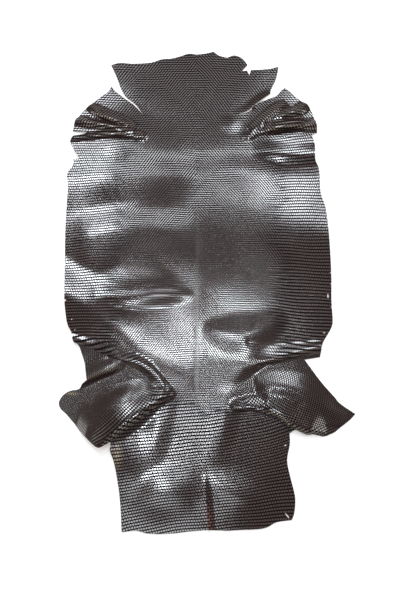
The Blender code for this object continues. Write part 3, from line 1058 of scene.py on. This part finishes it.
# %% [markdown]
# ### Glazed scales
#
# Glazing presses and polishes the scales with a glass or agate roller, so their tops shine like varnish while
# the skin in the grooves between them stays dull and almost black. Colour, roughness and relief all follow
# from one height, 1 on a scale and 0 in a groove.

# %% Shapes of single scales
TURN = 2 * math.pi
BEAD_LOW, BEAD_HIGH = -0.6, 0.5  # the part of a wave over which a bead rises
TILE_LOW, TILE_HIGH = 0.14, 0.7  # the same for a tile
scales = Finish("glazed scales", {"IOR": 2.0, "Specular IOR Level": 0.5})


def wave(count):
    """1 at each whole count, -1 half way between."""
    return (count * TURN).maths("COSINE")


def beads(slant, level, slant_share):
    """Round scales where slanting and level rows cross."""
    return scales.ramp(slant * slant_share + wave(level) * (1 - slant_share), BEAD_LOW, BEAD_HIGH)


def tiles(row, column):
    """Long scales laid like bricks, each rounded off at its edges."""
    offset = (row - row % 1) % 2 * 0.5
    across = abs((row % 1) * 2 - 1)
    along = abs(((column + offset) % 1) * 2 - 1)
    return scales.ramp((1 - across**1.5) * (1 - along**3 * 0.9), TILE_LOW, TILE_HIGH)


# %% The height of the scales
# A place's cut vector is in centimetres of the flat cut, so a noise of scale 0.22 has clouds 4 or 5 cm wide.
falls_right, falls_left, level = scales.columns("beads")
tile_row, tile_column, spine = scales.columns("tiles")
round_root, along_leg, raw = scales.columns("net")
tile, leg, rubbed_and_sheen = scales.columns("shares")
cut = scales.stored("cut")
cut_x = scales.node("ShaderNodeSeparateXYZ", sockets={0: cut})

clouds = scales.noise(cut, 0.22, 1)
# The seam between the two slants wanders with the clouds, by up to 1.5 cm to each side of the spine.
right_of_spine = scales.ramp(cut_x + clouds * 3 - 1.5, -0.5, 0.5, 0.1, 0.9)
slant = wave(falls_right) * right_of_spine + wave(falls_left) * (1 - right_of_spine)
# Where the clouds are thick the slanting rows show more, and elsewhere the level ones.
back_height = beads(slant, level, scales.ramp(clouds, 0.4, 0.6, 0.45, 0.72))
net_height = beads(wave(round_root), along_leg, 0.5)
tile_height = tiles(tile_row, tile_column)
height = back_height * (1 - leg) + net_height * leg
height = height * (1 - tile) + tile_height * tile
print("nodes in the scales' height:", len(scales.tree.nodes))

# %% Colour: the dye, where it is missing, and the painted highlight and reflection
DEEP_DYE, THIN_DYE, FRECKLE = (0.034, 0.017, 0.015, 1), (0.050, 0.026, 0.023, 1), (0.065, 0.040, 0.036, 1)
SPINE_GREY, RAW_LEATHER, RUBBED_AND_SHEEN_TAN = (0.10, 0.09, 0.095, 1), (0.22, 0.09, 0.075, 1), (0.45, 0.37, 0.25, 1)
SPINE_SHARE, RUBBED_AND_SHEEN_SHARE = 0.5, 0.75  # how far the spine's grey and the pale tan of rubbing, painted highlight and painted reflection cover the dye
patches = scales.noise(cut, 0.35, 4)
speckle = scales.noise(cut, 6.0, 2)
dye = scales.blend(scales.ramp(patches, 0.35, 0.65), DEEP_DYE, THIN_DYE)
dye = scales.blend(scales.ramp(speckle, 0.35, 0.75), dye, FRECKLE)
dye = scales.blend(spine * SPINE_SHARE, dye, SPINE_GREY)
dye = scales.blend(raw, dye, RAW_LEATHER)
# The pale tan is rubbed dye, a painted highlight along the highest crests, and a painted warm reflection by
# the tail's left edge.
scales.feed("Base Color", scales.blend(rubbed_and_sheen * RUBBED_AND_SHEEN_SHARE, dye, RUBBED_AND_SHEEN_TAN))

# %% Gloss and relief
RELIEF_DEPTH = 0.1 * MM  # the relief's heights below are shares of it
BEAD_RELIEF, TILE_RELIEF, NET_RELIEF = 0.55, 0.40, 0.90
DENT_RELIEF, SPECKLE_RELIEF, GRAIN_RELIEF = 0.3, 0.12, 0.03
GROOVE_ROUGHNESS, TOP_ROUGHNESS, SPECKLE_ROUGHNESS = 0.3, 0.1, 0.08
dents = scales.noise(cut, 2.2, 2)
grain = scales.noise(cut, 30.0, 2)
roughness = scales.ramp(height, 0.1, 0.8, GROOVE_ROUGHNESS, TOP_ROUGHNESS)
scales.feed("Roughness", roughness + speckle * SPECKLE_ROUGHNESS)
scale_relief = tile * (TILE_RELIEF - BEAD_RELIEF) + leg * (NET_RELIEF - BEAD_RELIEF) + BEAD_RELIEF
relief = height * scale_relief + dents * DENT_RELIEF + speckle * SPECKLE_RELIEF + grain * GRAIN_RELIEF
bump = scales.node("ShaderNodeBump", {}, {"Strength": 1.0, "Distance": RELIEF_DEPTH, "Height": relief})
scales.feed("Normal", bump)

# %% Grooves: a dull second shader shows between the scales
dull = {"Base Color": (0.004, 0.003, 0.003, 1), "Roughness": 0.8, "Specular IOR Level": 0.05}
in_grooves = scales.node("ShaderNodeBsdfPrincipled", {}, dull)
groove = scales.ramp(height, 0.4, 1.0, 1.0, 0.0)
glazed = Signal(scales, scales.shader.outputs[0])
both = scales.node("ShaderNodeMixShader", {}, {0: groove, 1: glazed, 2: in_grooves})
scales.tree.links.new(both.socket, scales.tree.nodes["Material Output"].inputs["Surface"])
skin.materials.append(scales.material)
print("nodes in the glazed scales:", len(scales.tree.nodes))

# %% [markdown]
# ### Flesh side and cut edge
#
# The flesh side is the inside of the skin: suede-like, matt and red-brown, as the dye soaks in unevenly. The
# cut edge shows the same fibre, paler where the knife opened it and dark where dye ran down it.

# %% The two plain finishes
flesh = Finish("flesh side", {"Roughness": 0.85, "Specular IOR Level": 0.3})
fibre = flesh.noise(flesh.stored("cut"), 9.0, 5, 0.7)
flesh.feed("Base Color", flesh.blend(fibre, (0.10, 0.045, 0.028, 1), (0.26, 0.13, 0.085, 1)))
nap = flesh.node("ShaderNodeBump", {}, {"Strength": 0.6, "Distance": 0.3 * MM, "Height": fibre})
flesh.feed("Normal", nap)
skin.materials.append(flesh.material)

edge = Finish("cut edge", {"Roughness": 0.7, "Specular IOR Level": 0.4})
strands = edge.noise(edge.stored("cut"), 5.0, 4, 0.6)
edge.feed("Base Color", edge.blend(strands, (0.035, 0.022, 0.018, 1), (0.22, 0.16, 0.12, 1)))
skin.materials.append(edge.material)

# %% [markdown]
# ## One piece of leather
#
# Solidify gives the sheet its thickness. The folded sheet is the underside that rests on the table, so with
# an offset of 1 all the thickness lies above it. The modifier also hands out the materials: the top keeps the
# first slot, the underside is one slot further on and the rim two slots.

# %% Thickness and place
hide = bpy.data.objects.new("scaled_skin", skin)
bpy.context.collection.objects.link(hide)
thicken = hide.modifiers.new("thickness", "SOLIDIFY")
thicken.thickness = SKIN_THICKNESS * MM
thicken.offset = 1
thicken.material_offset = 1
thicken.material_offset_rim = 2

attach(hide, "root")
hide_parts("hide")
print("skin:", len(skin.vertices), "points,", len(skin.polygons), "cells")

# %% [markdown]
# ## Table, light and camera
#
# Glossy leather shows its lights more than its colour. Soft boxes 2 metres overhead draw the pale patches on
# every slope that faces them, and the gaps between the boxes leave the dark ones. Low windows round the table
# do the same for anyone who looks from the side, and a dim warm room keeps the gaps from going black. The
# table is matt white paper that glows a little, so it stays white between the pools of light.

# %% The pale table
TABLE_REACH = 3  # metres from the middle to a side
TABLE_DROP = 0.3 * MM  # how far the table lies under the skin
WHITE = (1, 1, 1, 1)


def make_table():
    """A wide pale floor, just under the skin."""
    bm = bmesh.new()
    bmesh.ops.create_grid(bm, x_segments=1, y_segments=1, size=TABLE_REACH)
    bmesh.ops.translate(bm, verts=bm.verts, vec=(0, 0, -TABLE_DROP))
    mesh = bpy.data.meshes.new("table")
    bm.to_mesh(mesh)
    bm.free()
    table = bpy.data.objects.new("table", mesh)
    bpy.context.collection.objects.link(table)
    paper = {"Base Color": (0.9, 0.9, 0.9, 1), "Roughness": 0.9}
    glow = {"Emission Color": WHITE, "Emission Strength": 0.25}
    mesh.materials.append(Finish("white paper", paper | glow).material)


make_table()

# %% Soft boxes and windows: place, width and height in metres, power in watts, and tint
COOL, WARM = (0.90, 0.95, 1.0), (1.0, 0.97, 0.93)
Box = namedtuple("Box", "name x y z wide high power tint")
BOXES = [
    Box("over the head", 0.12, 1.31, 2.0, 1.65, 0.2, 8, COOL),
    Box("beyond the head", 0.0, 1.9, 2.0, 1.0, 0.5, 1.2, COOL),
    Box("beyond the left front leg", -0.75, 1.8, 2.0, 0.5, 0.5, 8, COOL),
    Box("beyond the right front leg", 0.75, 1.8, 2.0, 0.5, 0.5, 8, COOL),
    Box("over the right shoulder", 0.45, 1.47, 2.0, 0.4, 0.2, 3, COOL),
    Box("over the left flank", -0.6, 1.13, 2.0, 0.32, 0.26, 6, COOL),
    Box("over the loins", 0.09, 0.37, 2.0, 0.38, 0.17, 6.6, COOL),
    Box("over the root of the tail", 0.03, 0.0, 2.0, 0.12, 0.2, 0.9, COOL),
    Box("over the tail", -0.21, -0.1, 2.0, 0.24, 0.16, 3.6, COOL),
    Box("over the tail end", -0.2, -0.5, 2.0, 0.5, 0.3, 1.8, COOL),
    Box("left window", -2.2, 0.1, 1.1, 1.0, 1.6, 20, WARM),
    Box("right window", 2.2, 0.1, 1.1, 1.0, 1.6, 16, WARM),
    Box("window beyond the head", 0.0, 3.0, 1.0, 2.4, 1.2, 7, WARM),
    Box("window behind the left leg", -1.8, -2.4, 1.1, 1.6, 1.4, 9, WARM),
    Box("window behind the right leg", 1.8, -2.4, 1.1, 1.6, 1.4, 9, WARM),
]


# %% Hang them, all facing the middle of the skin
def aim(thing, target):
    """Turns a lamp or a camera to look at a point, with its top towards the head of the skin."""
    thing.rotation_euler = (Vector(target) - thing.location).to_track_quat("-Z", "Y").to_euler()


for box in BOXES:
    lamp = bpy.data.lights.new(box.name, "AREA")
    lamp.shape = "RECTANGLE"
    lamp.size, lamp.size_y = box.wide, box.high
    lamp.energy, lamp.color = box.power, box.tint
    softbox = bpy.data.objects.new(box.name, lamp)
    softbox.location = (box.x, box.y, box.z)
    aim(softbox, (0, 0, 0))
    bpy.context.collection.objects.link(softbox)
print("soft boxes and windows:", len(BOXES))

# %% The dim warm room
room = bpy.data.worlds.new("room")
room.use_nodes = True
walls = room.node_tree.nodes["Background"]
walls.inputs["Color"].default_value = (1.0, 0.95, 0.94, 1)
walls.inputs["Strength"].default_value = 0.26
bpy.context.scene.world = room

# %% The camera, high above the tail and tilted 18 degrees towards the head
CAMERA_PLACE = (-0.0033, -0.3593, 0.909)
CAMERA_AIM = (-0.0033, -0.0643, 0)
lens = bpy.data.cameras.new("camera")
lens.sensor_width = 36  # millimetres, as the next
lens.lens = 36.4
camera = bpy.data.objects.new("camera", lens)
camera.location = CAMERA_PLACE
aim(camera, CAMERA_AIM)
bpy.context.collection.objects.link(camera)
bpy.context.scene.camera = camera
bpy.context.scene.view_settings.view_transform = "Standard"
